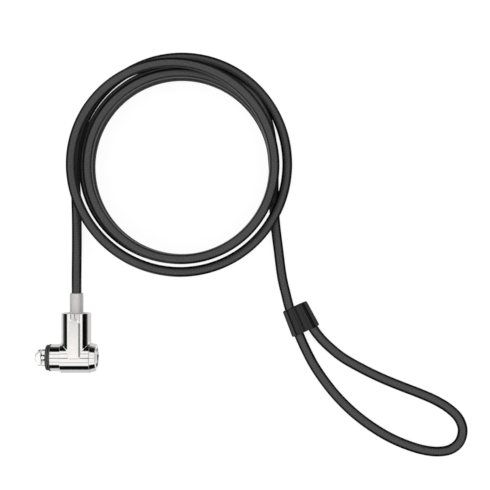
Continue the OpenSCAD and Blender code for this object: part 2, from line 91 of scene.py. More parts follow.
cableSettings = {
    "diameter": 4.0,
    "floorZ": -6.1,
    "turns": 4.5,
    "outerRadius": 42.7,
    "outerBulge": 0.6,
    "leftBulge": (0.75, 55),  # swell of the outer turn on the left, and its width in degrees
    "filler": (2.0, 985.0, 90.0, 1215.0, 38.0),  # swell of one lower turn, its start and rise, its end and fall
    "wedge": (1.3, 1215.0, 24.0),  # more swell of that turn, its middle and width; all in degrees wound
    "innerRadius": 37.0,
    "outerMiddle": (54.2, 77.9),
    "innerMiddle": (54.5, 76.7),
    "crossFrom": 345.0,  # degrees wound where the turns move inwards
    "crossTo": 537.0,
    "climbFrom": 60.0,
    "climbTo": 455.0,
    "stackPitch": 4.5,
    "stackTurns": 3.11,
    "pointsPerTurn": 24,
    "ring": 20,
    "step": 0.7,  # mm between rings of the tube
}
sleeveSettings = {
    "middle": (100.0, 20.45, -3.3),  # upper middle of the sleeve
    "turn": -65.3,
    "length": 11.0,
    "gapTop": 4.4,
    "gapLow": 6.2,
}


# Directions down the sleeve and across it
def sleeveAxes():
    a = math.radians(sleeveSettings["turn"])
    return np.array([math.cos(a), math.sin(a), 0]), np.array([-math.sin(a), math.cos(a), 0])


# Points where a run crosses the sleeve's ends: the middle, plus half the gap across, plus the length down
def sleeveEnds():
    s = sleeveSettings
    down, across = sleeveAxes()
    middle = np.array(s["middle"])
    top = {side: middle + side * s["gapTop"] / 2 * across for side in (-1, 1)}
    low = {side: middle + s["length"] * down + side * s["gapLow"] / 2 * across for side in (-1, 1)}
    return top, low


# Winding: radius and middle ease from the outer to the inner turn as s*s*(3-2s); height is the
# least of a rise, a top and a fall, all linear in the angle wound; the outer turn swells on the
# left as exp(-(angle/width)^2), and one lower turn lies wider under the gap between the others
def coilPoints():
    c = cableSettings
    t = np.linspace(0, 360 * c["turns"], int(c["turns"] * c["pointsPerTurn"]) + 1)
    s = np.clip((t - c["crossFrom"]) / (c["crossTo"] - c["crossFrom"]), 0, 1)
    e = s * s * (3 - 2 * s)
    a = np.radians(t)
    outer = c["outerRadius"] + c["outerBulge"] * np.sin(a) ** 2
    bulge, width = c["leftBulge"]
    outer += bulge * np.exp(-(((t + 180) % 360 - 180) / width) ** 2)
    swell, start, rising, stop, falling = c["filler"]
    wide = np.clip((t - start) / rising, 0, 1) - np.clip((t - stop) / falling, 0, 1)
    more, center, spread = c["wedge"]
    lying = swell * wide * wide * (3 - 2 * wide) + more * np.exp(-((t - center) / spread) ** 2)
    r = outer * (1 - e) + (c["innerRadius"] + lying) * e
    middle = np.outer(1 - e, c["outerMiddle"]) + np.outer(e, c["innerMiddle"])
    top = c["stackTurns"] * c["stackPitch"]
    rise = top * (t - c["climbFrom"]) / (c["climbTo"] - c["climbFrom"])
    fall = c["stackPitch"] * (360 * c["turns"] - t) / 360
    lift = np.maximum(0, np.minimum(np.minimum(rise, top), fall))
    z = c["floorZ"] + c["diameter"] / 2 + lift
    return np.column_stack([middle[:, 0] - r * np.cos(a), middle[:, 1] + r * np.sin(a), z])


# Points of the whole cable; those given by two numbers lie on the floor
def cableRoute():
    low = cableSettings["floorZ"] + cableSettings["diameter"] / 2
    sleeveTop, sleeveLow = sleeveEnds()
    lead = [(12.15, 20.9, 0), (12.15, 25.9, 0), (12.1, 31, -0.2), (12.05, 38, -0.9), (11.85, 47, -2.6),
            (11.6, 56, -3.8), (11.3, 65)]
    tail = [(91.6, 64), (92.1, 55), (93.4, 44), (95, 32), (96.6, 25, -3.8)]
    eye = [(104.6, 2.8, -3.8), (107.8, -3.3), (112, -9.6), (117.2, -16.1), (123.4, -22.3), (130.4, -27.8),
           (138, -32.5), (145.6, -35.9), (152.6, -38), (158.7, -38.6), (163.4, -37.7), (166.5, -35.4),
           (168, -32.4), (168.2, -28.8), (166.5, -24.8), (162.7, -21.1), (157.3, -17.8), (150.7, -14.9),
           (143.2, -12), (135.2, -8.7), (127, -4.7), (119.1, -0.1), (112.9, 5.1), (110.0, 8.2, -3.7)]
    lead, tail, eye = ([(*point, low)[:3] for point in run] for run in (lead, tail, eye))
    inside = [sleeveTop[-1], sleeveLow[-1]]
    back = [sleeveLow[1], 0.8 * sleeveTop[1] + 0.2 * sleeveLow[1]]
    return np.vstack([lead, coilPoints(), tail, inside, eye, back]) * mm


# Centripetal Catmull-Rom curve through the points, then points spaced evenly along its length
def smoothLine(points, step):
    p = np.vstack([2 * points[0] - points[1], points, 2 * points[-1] - points[-2]])
    gap = np.linalg.norm(np.diff(p, axis=0), axis=1) ** 0.5
    knot = np.concatenate([[0], np.cumsum(gap)])
    u = np.linspace(0, 1, 24, endpoint=False)
    p0, p1, p2, p3 = (p[i:len(p) - 3 + i][:, None, :] for i in range(4))
    t0, t1, t2, t3 = (knot[i:len(p) - 3 + i][:, None, None] for i in range(4))
    t = t1 + (t2 - t1) * u[None, :, None]

    def between(first, last, start, stop):
        return (stop - t) / (stop - start) * first + (t - start) / (stop - start) * last

    a1, a2, a3 = between(p0, p1, t0, t1), between(p1, p2, t1, t2), between(p2, p3, t2, t3)
    b1, b2 = between(a1, a2, t0, t2), between(a2, a3, t1, t3)
    fine = np.vstack([between(b1, b2, t1, t2).reshape(-1, 3), points[-1:]])
    along = np.concatenate([[0], np.cumsum(np.linalg.norm(np.diff(fine, axis=0), axis=1))])
    even = np.linspace(0, along[-1], int(along[-1] / step) + 1)
    return np.column_stack([np.interp(even, along, fine[:, k]) for k in range(3)]), even


def circle(around):
    return np.arange(around) * 2 * math.pi / around


# Tube: rings square to the line, radius * (cos v * side + sin v * up), closed by a fan at each end
def tubeMesh(name, line, along, radius, ring):
    tangent = np.gradient(line, along, axis=0)
    tangent /= np.linalg.norm(tangent, axis=1)[:, None]
    side = np.cross(tangent, [0, 0, 1.0])
    side /= np.linalg.norm(side, axis=1)[:, None]
    up = np.cross(side, tangent)
    v = circle(ring)
    points = line[:, None, :] + radius * (np.cos(v)[None, :, None] * side[:, None, :]
                                         + np.sin(v)[None, :, None] * up[:, None, :])
    count = len(line) * ring
    i, k = np.meshgrid(np.arange(len(line) - 1), np.arange(ring), indexing="ij")
    a, b = i * ring + k, i * ring + (k + 1) % ring
    faces = np.stack([a, a + ring, b + ring, b], axis=-1).reshape(-1, 4).tolist()
    faces += [list(range(ring)), list(range(count - ring, count))[::-1]]
    uv = np.stack([np.stack([(k + du) / ring, along[i + ds]], -1) for du, ds in ((0, 0), (0, 1), (1, 1), (1, 0))],
                  axis=2).reshape(-1, 2)
    return meshFromArrays(name, points.reshape(-1, 3), faces, np.vstack([uv, np.zeros((2 * ring, 2))]))


def makeCable(sleeve):
    c = cableSettings
    line, along = smoothLine(cableRoute(), c["step"] * mm)
    cable = tubeMesh("cableJacket", line, along, c["diameter"] / 2 * mm, c["ring"])
    assign(cable, "cable", "cable_vinyl", "cableVinyl", "cable_lead", "cable_coil", "cable_tail", "cable_eye",
           "eye_jacket_ends", "cable_jacket_end")
    print("cable length", round(float(along[-1]), 4), "m")


# Merges the poles and seams of a piece, then turns its faces outwards
def closeMesh(piece):
    work = bmesh.new()
    work.from_mesh(piece.data)
    bmesh.ops.remove_doubles(work, verts=work.verts, dist=1e-7)
    bmesh.ops.recalc_face_normals(work, faces=work.faces)
    work.to_mesh(piece.data)
    work.free()
    piece.data.update()
    return piece


# Quads over a grid of points of shape (rows, around, 3); each row is a closed ring
def ringGrid(name, grid, closed=False):
    rows, around = grid.shape[:2]
    last = rows if closed else rows - 1
    i, k = np.meshgrid(np.arange(last), np.arange(around), indexing="ij")
    j, m = (i + 1) % rows, (k + 1) % around
    faces = np.stack([i * around + k, j * around + k, j * around + m, i * around + m], axis=-1)
    return closeMesh(meshFromArrays(name, grid.reshape(-1, 3) * mm, faces.reshape(-1, 4).tolist()))


# Profile with each inner corner replaced by an arc of its radius, tangent to both sides;
# a holding point beside each end of an arc keeps the flats flat
def roundProfile(points, radii, steps=6, hold=0.04):
    p = np.asarray(points, dtype=float)
    out = [p[0]]
    for before, corner, after, radius in zip(p[:-2], p[1:-1], p[2:], radii):
        a, b = before - corner, after - corner
        la, lb = np.linalg.norm(a), np.linalg.norm(b)
        a, b = a / la, b / lb
        half = math.acos(np.clip(a @ b, -1, 1)) / 2
        cut = min(radius / math.tan(half), 0.45 * la, 0.45 * lb)
        middle = corner + (a + b) / np.linalg.norm(a + b) * cut / math.cos(half)
        size = cut * math.tan(half)
        first, last = corner + a * cut, corner + b * cut
        t = np.linspace(0, 1, steps + 1)[:, None]
        swing = math.pi - 2 * half
        arc = (np.sin((1 - t) * swing) * (first - middle) + np.sin(t * swing) * (last - middle)) / math.sin(swing)
        out += [first + a * min(hold, 0.3 * (la - cut))]
        out += list(middle + arc / np.linalg.norm(arc, axis=1)[:, None] * size)
        out += [last + b * min(hold, 0.3 * (lb - cut))]
    return np.array(out + [p[-1]])


# Rings of (station, radius or radii) round an axis: "x" is the lock's axis, "y" is the cable's
def turned(name, rows, axis, t=circle(96), closed=False):
    grid = []
    for station, r in rows:
        flat = np.full_like(t, station)
        if axis == "x":
            grid.append(np.stack([flat, r * np.cos(t), r * np.sin(t)], axis=-1))
        else:
            grid.append(np.stack([lockSettings["cableX"] + r * np.cos(t), flat, r * np.sin(t)], axis=-1))
    return ringGrid(name, np.array(grid), closed)


# Flat plate from a closed outline: rows run from the middle of the top, over a rounded or
# bevelled edge given as (inset, height) pairs, down to the middle of the underside
def edgedPlate(name, outline, edge, middle, share=1.0):
    p = np.asarray(outline, dtype=float)
    ahead, back = np.roll(p, -1, axis=0) - p, p - np.roll(p, 1, axis=0)
    run = ahead / np.linalg.norm(ahead, axis=1)[:, None] + back / np.linalg.norm(back, axis=1)[:, None]
    run /= np.linalg.norm(run, axis=1)[:, None]
    out = np.column_stack([run[:, 1], -run[:, 0]])
    area = np.sum(p[:, 0] * np.roll(p[:, 1], -1) - p[:, 1] * np.roll(p[:, 0], -1))
    out *= math.copysign(1, area) * np.reshape(share, (-1, 1))
    middle = np.asarray(middle, dtype=float)

    def row(inset, z, part=None):
        ring = p - inset * out
        if part is not None:
            ring = middle + part * (ring - middle)
        return np.column_stack([ring, np.full(len(p), z)])

    rows = [row(*edge[0], part) for part in (0.0, 0.35, 0.7)] + [row(*pair) for pair in edge]
    return ringGrid(name, np.array(rows + [row(*edge[-1], part) for part in (0.7, 0.35, 0.0)]))


# Quarter-round edge of both faces of a plate between two heights, as (inset, height) pairs
def roundEdge(low, high, radius):
    top = [(radius * (1 - math.sin(t)), high - radius * (1 - math.cos(t))) for t in np.linspace(0, math.pi / 2, 6)]
    under = [(i, low + high - z) for i, z in reversed(top)]
    return [(top[0][0] + 0.05, high)] + top + under + [(under[-1][0] + 0.05, low)]


# Steep chamfer of both faces of a plate, as (inset, height) pairs
def steepEdge(low, high, wide, tall):
    top = [(wide + 0.08, high), (wide + 0.03, high - 0.006), (wide - 0.015, high - 0.05),
           (0.015, high - tall + 0.03), (0.0, high - tall), (0.0, high - tall - 0.05)]
    return top + [(i, low + high - z) for i, z in reversed(top)]


# Closed polygon with its corners rounded, each side given extra points
def softPolygon(points, radii):
    return roundProfile([points[-1], *points, points[0]], radii, 5, 0.1)[1:-1]


lockSettings = {"stemX": 12.05, "cableX": 12.15, "sleeveStart": 6.02, "sleeveEnd": 17.75, "keyFace": 20.4}
housingSettings = {
    "sleeveRadius": 6.1,
    "boreRadius": 4.85,
    "stemRadius": 5.9,
    "stemBore": 4.05,
    "stemEnd": 18.0,
    "edge": 0.28,
    "sleeveEdge": 0.1,
    "fillet": 0.19,  # reach of the blend between stem and sleeve
    "padHalf": 1.85,
    "padShift": -0.12,
    "padBevel": 0.7,
    "padSlope": 0.369,  # fall of the bevel over its width
    "padFoot": -2.2,
    "padDip": (1.7, 0.078),  # below this height the pad bends down by the factor times the square
    "padLength": 13.7,
    "padArch": 1.7,
    "padTop": 6.4,
    "padUnder": 5.05,  # lowest level of the pad, inside the walls of stem and sleeve
}


# Sleeve: a turned tube with rounded edges, round the lock's axis
def makeSleeve():
    h, k = housingSettings, lockSettings
    x0, x1, r, bore = k["sleeveStart"], k["sleeveEnd"], h["sleeveRadius"], h["boreRadius"]
    corners = [(12, bore), (x0, bore), (x0, r), (x1, r), (x1, bore), (12.2, bore)]
    profile = roundProfile(corners, [0.05, h["sleeveEdge"], h["sleeveEdge"], 0.05])
    return turned("housingSleeve", profile, "x", circle(160), closed=True)


# Stem: for each direction round its axis, a fillet where sqrt(a) + sqrt(b) = sqrt(k), with a the
# distance out from the stem and b that from the sleeve; then the wall, a rounded rim and the bore
def makeStem():
    h = housingSettings
    t = circle(192)
    x0 = lockSettings["stemX"]
    k = h["fillet"] * np.sin(2 * t) ** 2 + 0.05
    steps = [(k + 0.2, -0.008 + 0 * k)] + [(k * (1 - s) ** 2, k * s ** 2 + 0.003) for s in np.linspace(0, 1, 15)]
    rows = []
    for a, b in steps:
        rho = h["stemRadius"] + a
        z = rho * np.sin(t)
        y = np.sqrt(np.maximum((h["sleeveRadius"] + b) ** 2 - z * z, 0))
        rows.append(np.stack([x0 + rho * np.cos(t), y, z], axis=-1))
    wall = rows[-1][:, 1]
    end, bore, radius = h["stemEnd"], h["stemBore"], h["stemRadius"]
    rim = roundProfile([(end - 3, radius), (end, radius), (end, bore), (end - 2.9, bore)], [h["edge"], 0.12])
    rings = [(wall + share * (end - 3 - wall), radius) for share in (0.04, 0.5)]
    for y, r in rings + [(np.full_like(t, y), r) for y, r in rim]:
        rows.append(np.stack([x0 + r * np.cos(t), y, r * np.sin(t)], axis=-1))
    return ringGrid("housingStem", np.array(rows))


# Pad: straight sides that end in half an ellipse, with a bevel that runs into the stem; towards
# its foot it bends down
def makePad():
    h = housingSettings
    x0 = lockSettings["stemX"]
    arch = [(x0 + h["padHalf"] * math.cos(t), h["padLength"] + h["padArch"] * math.sin(t))
            for t in np.linspace(0, math.pi, 40)]
    heights = np.concatenate([np.linspace(h["padLength"], 2.4, 10)[1:], np.linspace(2.2, h["padFoot"], 23)])
    left = [(arch[-1][0], y) for y in heights]
    right = [(arch[0][0], y) for y in heights[::-1]]
    foot = [(x, h["padFoot"]) for x in np.linspace(arch[-1][0], arch[0][0], 8)[1:-1]]
    outline = np.array(arch + left + foot + right) + (h["padShift"], 0)
    top, bevel = h["padTop"], h["padBevel"]
    low = top - bevel * h["padSlope"]
    edge = [(0.06, top), (0.02, top)]
    edge += [(-i, top - i * h["padSlope"]) for i in (0.03, 0.07, bevel - 0.05, bevel - 0.01)]
    edge += [(-bevel - 0.01, low - 0.02), (-bevel - 0.02, low - 0.06), (-bevel - 0.02, low - 1.0)]
    spine = np.column_stack([0 * outline[:, 0] + x0 + h["padShift"],
                             np.clip(outline[:, 1], h["padFoot"] + 1, h["padLength"])])
    body = edgedPlate("padBody", outline, edge, spine)
    face = edgedPlate("padFace", outline, [(0.06, top + 0.008), (0.02, top + 0.008), (0.0, top + 0.006),
                                           (-0.012, top - 0.002), (-0.015, top - 0.05)], spine)
    high, factor = h["padDip"]
    for piece in (body, face):
        count = len(piece.data.vertices)
        points = np.zeros(3 * count, dtype=np.float32)
        piece.data.vertices.foreach_get("co", points)
        points = points.reshape(-1, 3)
        points[:, 2] -= factor / mm * np.maximum(high * mm - points[:, 1], 0) ** 2
        points[:, 2] = np.maximum(points[:, 2], h["padUnder"] * mm)
        piece.data.vertices.foreach_set("co", points.ravel())
        piece.data.update()
    return body, face


for piece in (makeSleeve(), makeStem(), *makePad()):
    finish = "padSatin" if piece.name == "padFace" else "chromeHousing"
    assign(piece, "housing", "chrome_housing", finish, "t_housing")
print("stage: housing")


bumperSettings = {
    "length": 2.1,
    "frontRadius": 5.1,
    "backRadius": 5.45,
    "step": 1.2,
    "groove": 0.28,
    "face": 0.6,
    "slot": (7.0, 3.0),
    "spigot": 4.1,
}


# Polar radius of a rounded rectangle: (|cos/a|^p + |sin/b|^p)^(-1/p)
def slotRadius(t, width, height, power=14):
    return ((np.abs(np.cos(t)) / (width / 2)) ** power + (np.abs(np.sin(t)) / (height / 2)) ** power) ** (-1 / power)


# Bumper: rows of rings that start as the slot's outline and end as circles
def makeBumper():
    b = bumperSettings
    t = circle(160)
    slot = slotRadius(t, *b["slot"])
    front, back, step, deep = b["frontRadius"], b["backRadius"], b["step"], b["groove"]
    profile = roundProfile([(0.0, front - 0.8), (0.03, front - 0.3), (0.28, front), (step - 0.14, front),
                            (step - 0.1, front - deep), (step + 0.1, front - deep), (step + 0.14, back),
                            (b["length"] - 0.02, back), (b["length"] - 0.02, b["spigot"] + 0.02)],
                           [0.12, 0.14, 0.06, 0.03, 0.03, 0.14, 0.1])
    rows = [(b["face"] + 0.02, slot), (0.16, slot), (0.06, slot + 0.02), (0.0, slot + 0.1)]
    rows += [(0.0, (slot + 0.1) * (1 - share) + (front - 0.8) * share) for share in (0.3, 0.65)]
    rows += list(profile) + [(b["face"] + 0.02, b["spigot"] + 0.02)]
    piece = turned("bumperRing", rows, "x", t, closed=True)
    assign(piece, "barrel", "bumper_rubber", "bumperRubber", "bumper")


guardSettings = {
    "disc": 4.08,
    "start": 0.62,
    "end": 1.4,
    "bore": 1.27,
    "prong": (1.25, 3.35),
    "narrow": (-0.6, 1.0),  # station and distance from the axis where the prongs come closest
    "open": 1.55,
    "reach": 1.86,
    "half": 1.35,
    "corner": (0.3, 0.47, 0.47, 0.2, 0.3, 0.2),
    "edge": (0.36, 0.38),
}


# Share of the rim's width: full along the outer sides, narrow where sides face the axis or the nose
def rimShare(outline, half):
    return 0.15 + 0.85 * np.clip((np.abs(outline[:, 1]) - half + 0.55) / 0.4, 0, 1)


# Guard: a turned disc behind the rubber, and two prongs with bevelled edges in front of it
def makeGuard():
    g = guardSettings
    pieces = [turned("guardDisc", [(g["start"], g["bore"]), (g["start"], g["disc"]), (g["end"], g["disc"]),
                                   (g["end"], g["bore"])], "x", circle(64), closed=True)]
    for side, name in ((-1, "guardProngLow"), (1, "guardProngHigh")):
        inner, outer = g["prong"]
        corners = [(1.0, side * inner), (1.0, side * outer), (-g["reach"], side * outer),
                   (-g["reach"], side * g["open"]), (g["narrow"][0], side * g["narrow"][1]), (-0.1, side * inner)]
        outline = softPolygon(corners, g["corner"])
        middle = (-0.5, side * (inner + outer) / 2)
        pieces.append(edgedPlate(name, outline, steepEdge(-g["half"], g["half"], *g["edge"]), middle,
                                 share=rimShare(outline, outer)))
    for piece in pieces:
        assign(piece, "barrel", "guard_steel", "guardSteel", "guard_plate")


# Near-black rubber tongue that fills the gap between the prongs, under the neck: painted shade where the gap looks
# down into shadow
def makeTongue():
    g = guardSettings
    place, near = g["narrow"]
    far, tip = g["open"] - 0.03, 0.02 - g["reach"]
    near -= 0.03
    outline = softPolygon([(0.3, near), (place, near), (tip, far), (tip, -far), (place, -near), (0.3, -near)],
                          [0.06] * 6)
    piece = edgedPlate("bumperTongue", outline, roundEdge(-1.33, -1.22, 0.03), (-0.7, 0))
    assign(piece, "barrel", "bumper_rubber", "gapShadeRubber")


headSettings = {
    "back": -1.9,
    "tip": -4.6,
    "bow": 0.165,  # the nose falls back by this times the square of the distance from the axis
    "shoulder": -2.95,
    "half": 3.3,
    "thick": 1.4,
    "edge": (0.36, 0.38),
    "neck": 0.6,
    "shaft": 1.2,
    "end": 16.4,
}


# T-bar: a plate with a bowed nose (x = tip + bow * y * y) and bevelled edges, a square neck, and a
# turned shaft
def makeTBar():
    h = headSettings
    nose = [(h["tip"] + h["bow"] * y * y, y) for y in (1.8, 0.9, 0.0, -0.9, -1.8)]
    corners = [(h["back"], -h["half"]), (h["back"], h["half"]), (h["shoulder"], h["half"])] + nose
    outline = softPolygon(corners + [(h["shoulder"], -h["half"])], [0.47, 0.47, 0.6] + [2.4] * 5 + [0.6])
    head = edgedPlate("tBarHead", outline, steepEdge(-h["thick"], h["thick"], *h["edge"]), (-3.0, 0),
                      share=rimShare(outline, h["half"]))
    n = h["neck"]
    outline = softPolygon([(h["back"] - 0.4, -n), (h["back"] - 0.4, n), (0.3, n), (0.3, -n)], [0.15] * 4)
    neck = edgedPlate("tBarNeck", outline, steepEdge(-n, n, 0.04, 0.05), (-0.8, 0))
    profile = roundProfile([(-0.1, 0), (-0.1, n), (0.2, n), (0.3, h["shaft"]), (h["end"], h["shaft"]), (h["end"], 0)],
                           [0.05, 0.02, 0.05, 0.1])
    shaft = turned("tBarShaft", profile, "x", circle(48))
    for piece in (head, neck, shaft):
        assign(piece, "rotor", "t_bar_steel", "tBarSteel", "t_bar")


makeBumper()
makeGuard()
makeTongue()
makeTBar()
print("stage: bumper, guard and T-bar")


capSettings = {
    "start": 17.8,
    "foot": 6.05,
    "face": 5.25,
    "bore": 4.8,
    "lip": 1.0,
    "socket": 3.85,
    "notchHalf": 0.48,
    "notchDepth": 0.65,
    "notchTurn": 2.5,
    "ringStart": 17.1,
}


# Radius of a bore that has the index notch: the notch's flat floor and straight sides in polar form
def notchedBore(t, radius):
    c = capSettings
    middle = math.radians(c["notchTurn"] - 90)
    away = np.abs((t - middle + math.pi) % (2 * math.pi) - math.pi)
    across = np.sin(np.minimum(away, math.pi / 2)) * radius
    reach = (c["socket"] + c["notchDepth"]) / np.cos(np.minimum(away, 0.3))
    return radius + (reach - radius) * np.clip((c["notchHalf"] - across) / 0.05, 0, 1)


# Angles round the lock's axis, closer together at the notch
def notchAngles():
    middle = math.radians(capSettings["notchTurn"] - 90) % (2 * math.pi)
    return np.sort(np.concatenate([circle(144), middle + np.linspace(-0.17, 0.17, 27)]))


# Cone ring: a turned outside, with a lip whose bore follows the notch
def makeCap():
    c, end, t = capSettings, lockSettings["keyFace"], notchAngles()
    inner = notchedBore(t, c["socket"])
    outside = roundProfile([(end - c["lip"], c["bore"]), (c["start"], c["bore"]), (c["start"], c["foot"]),
                            (end, c["face"]), (end, c["face"] - 0.8)], [0.05, 0.08, 0.6])
    rows = list(outside) + [(end, inner + 0.12), (end - 0.02, inner + 0.04), (end - 0.1, inner),
                            (end - c["lip"], inner)]
    piece = turned("coneRing", rows, "x", t, closed=True)
    assign(piece, "barrel", "chrome_barrel", "chromeBarrel", "end_cap")


# Socket ring behind the cone ring, with the same notch
def makeSocket():
    c, t = capSettings, notchAngles()
    inner = notchedBore(t, c["socket"] - 0.03)
    x0, x1 = c["ringStart"], lockSettings["keyFace"] - 0.08
    outer = inner + 0.06
    piece = turned("socketSleeve", [(x0, outer), (x1, outer), (x1, inner), (x0, inner)], "x", t, closed=True)
    assign(piece, "barrel", "satin_steel", "socketSatin", "socket_ring")


# Near-black thin channel just inside the walls of the notch, at its floor and sides: painted shade that stands for
# the shade deep in the notch
def makeKeyway():
    c = capSettings
    turn = math.radians(c["notchTurn"])
    half, low, high = c["notchHalf"] - 0.02, c["socket"] + c["notchDepth"] - 0.02, c["socket"] - 0.1
    thin = 0.08
    # section across the notch: outside of the channel and back along its inside
    section = np.array([(-half, -high), (-half, -low), (half, -low), (half, -high), (half - thin, -high),
                        (half - thin, thin - low), (thin - half, thin - low), (thin - half, -high)])
    y = section[:, 0] * math.cos(turn) - section[:, 1] * math.sin(turn)
    z = section[:, 0] * math.sin(turn) + section[:, 1] * math.cos(turn)
    grid = np.array([np.stack([np.full(8, x), y, z], axis=-1)
                     for x in np.linspace(c["ringStart"], lockSettings["keyFace"] - 0.03, 5)])
    faces = [[8 * i + k, 8 * i + 8 + k, 8 * i + 8 + (k + 1) % 8, 8 * i + (k + 1) % 8]
             for i in range(4) for k in range(8)]
    faces += [[row + k, row + k + 1, row + 6 - k, row + 7 - k] for row in (0, 32) for k in range(3)]
    piece = closeMesh(meshFromArrays("notchShadeChannel", grid.reshape(-1, 3) * mm, faces, smooth=False))
    assign(piece, "barrel", "guard_steel", "notchShadeSteel")


rotorSettings = {"start": 14.05, "flange": 3.78, "front": 16.9, "post": 2.55, "end": 20.1, "dish": 0.12}


# Rotor: flange that carries the key pins and a post with a shallow dish in its end
def makeRotor():
    r = rotorSettings
    corners = [(r["start"], 0), (r["start"], r["flange"]), (r["front"], r["flange"]), (r["front"], r["post"]),
               (r["end"], r["post"]), (r["end"], r["post"] - 0.45), (r["end"] - r["dish"], 0)]
    piece = turned("rotorPost", roundProfile(corners, [0.05, 0.05, 0.1, 0.14, 0.1]), "x")
    assign(piece, "rotor", "satin_steel", "postNickel", "key_rotor")


makeCap()
makeSocket()
makeKeyway()
makeRotor()
print("stage: key end")


ferruleSettings = {
    "flange": (12.7, 14.5, 3.8),
    "radius": 2.7,
    "end": 25.9,
    "mouth": 2.02,
    "jacket": 20.9,
}


def makeFerrule():
    f = ferruleSettings
    y0, y1, big = f["flange"]
    corners = [(y0, 1.3), (y0, big), (y1, big), (y1, f["radius"]), (f["end"], f["radius"]),
               (f["end"], f["mouth"]), (f["jacket"], f["mouth"]), (f["jacket"], 1.3)]
    profile = roundProfile(corners, [0.2, 0.2, 0.05, 0.3, 0.18, 0.02])
    piece = turned("ferruleTube", profile, "y", circle(72), closed=True)
    assign(piece, "cable", "satin_steel", "satinNickel", "cable_ferrule")


eyeSettings = {
    "halfTop": 5.3,
    "halfLow": 6.05,
    "thick": 2.8,
    "valley": 0.5,  # depth of the hollow between the two runs
    "valleyWidth": 0.19,
    "edge": 0.5,
}


# Sleeve of the eye: sections across the two runs, each |x/a|^m + |z/b|^n = 1 with a hollow down
# the middle, widening towards the eye, its ends rounded and closed onto the cable's mouths
def makeEyeSleeve():
    e, s = eyeSettings, sleeveSettings
    x, z = (np.sign(v) * np.abs(v) ** power for v, power in ((np.cos(circle(240)), 0.8), (np.sin(circle(240)), 0.72)))
    hollow = 1 - e["valley"] / e["thick"] * np.exp(-(x / e["valleyWidth"]) ** 2)
    profile = roundProfile([(0, 0.0), (0, 1.0), (s["length"], 1.0), (s["length"], 0.0)], [e["edge"]] * 2, 7)
    rows = []
    for y, inset in profile:
        half = e["halfTop"] + (e["halfLow"] - e["halfTop"]) * (y / s["length"])
        wide, tall = (size * inset if inset < 0.5 else size - (1.0 - inset) for size in (half, e["thick"]))
        rows.append((y, wide * x, tall * z * hollow))
    down, across = sleeveAxes()
    piece = ringGrid("eyeSleeve", np.array([
        np.array(s["middle"]) + y * down + px[:, None] * across + pz[:, None] * np.array([0, 0, 1.0])
        for y, px, pz in rows]))
    return assign(piece, "cable", "sleeve_vinyl", "sleeveVinyl", "eye_sleeve")


makeFerrule()
makeCable(makeEyeSleeve())
print("stage: ferrule, eye sleeve and cable")


# Value in a node tree: arithmetic on it adds Math nodes
class Term:
    def __init__(self, socket):
        self.socket = socket
        self.tree = socket.id_data

    def math(self, operation, *others):
        node = self.tree.nodes.new("ShaderNodeMath")
        node.operation = operation
        for socket, value in zip(node.inputs, (self, *others)):
            feed(socket, value)
        return Term(node.outputs[0])

    def __add__(self, other):
        return self.math("ADD", other)

    def __sub__(self, other):
        return self.math("SUBTRACT", other)

    def __rsub__(self, other):
        return self.math("MULTIPLY_ADD", -1.0, other)

    def __mul__(self, other):
        return self.math("MULTIPLY", other)

    def __truediv__(self, other):
        return self.math("DIVIDE", other)

    def __pow__(self, other):
        return self.math("POWER", other)

    def __abs__(self):
        return self.math("ABSOLUTE")

    def atLeast(self, other):
        return self.math("MAXIMUM", other)

    def clamped(self):
        self.socket.node.use_clamp = True
        return self

    # moved from one range to another and clamped
    def mapped(self, low, high, outLow=0.0, outHigh=1.0):
        node = self.tree.nodes.new("ShaderNodeMapRange")
        values = {"Value": self, "From Min": low, "From Max": high, "To Min": outLow, "To Max": outHigh}
        for label, value in values.items():
            feed(node.inputs[label], value)
        return Term(node.outputs["Result"])

    def axes(self):
        node = self.tree.nodes.new("ShaderNodeSeparateXYZ")
        feed(node.inputs[0], self)
        return [Term(socket) for socket in node.outputs]


# Gives an input its value: a term is linked to it, anything else is set on it
def feed(socket, value):
    if isinstance(value, Term):
        socket.id_data.links.new(value.socket, socket)
    else:
        socket.default_value = value


def objectPlace(tree):
    return Term(tree.nodes.new("ShaderNodeTexCoord").outputs["Object"])


# How far a surface turns away from the eye, from 0 to 1
def turnedAway(tree):
    return Term(tree.nodes.new("ShaderNodeLayerWeight").outputs["Facing"])


def vectorMath(operation, a, b):
    node = a.tree.nodes.new("ShaderNodeVectorMath")
    node.operation = operation
    feed(node.inputs[0], a)
    feed(node.inputs[1], b)
    return Term(node.outputs["Value" if operation == "DOT_PRODUCT" else "Vector"])


def noise(place, scale, detail=2.0, roughness=0.5):
    node = place.tree.nodes.new("ShaderNodeTexNoise")
    for label, value in (("Vector", place), ("Scale", scale), ("Detail", detail), ("Roughness", roughness)):
        feed(node.inputs[label], value)
    return Term(node.outputs[0])


# Empty node tree of a new material or world, with new nodes of some kinds
def emptyTree(block, *kinds):
    block.use_nodes = True
    block.node_tree.nodes.clear()
    return block.node_tree, [block.node_tree.nodes.new("ShaderNode" + kind) for kind in kinds]


def newMaterial(name):
    material = bpy.data.materials.new(name)
    tree, (shader, out) = emptyTree(material, "BsdfPrincipled", "OutputMaterial")
    tree.links.new(shader.outputs["BSDF"], out.inputs["Surface"])
    return material, tree, shader.inputs


# Empty node group with named inputs and their values, and named outputs
def newGroup(name, inputs, outputs):
    tree = bpy.data.node_groups.new(name, "ShaderNodeTree")
    for label, value in inputs.items():
        kind = "NodeSocketVector" if isinstance(value, tuple) else "NodeSocketFloat"
        tree.interface.new_socket(name=label, in_out="INPUT", socket_type=kind).default_value = value
    for label in outputs:
        tree.interface.new_socket(name=label, in_out="OUTPUT", socket_type="NodeSocketFloat")
    given = {socket.name: Term(socket) for socket in tree.nodes.new("NodeGroupInput").outputs if socket.name}
    return tree, given, tree.nodes.new("NodeGroupOutput").inputs


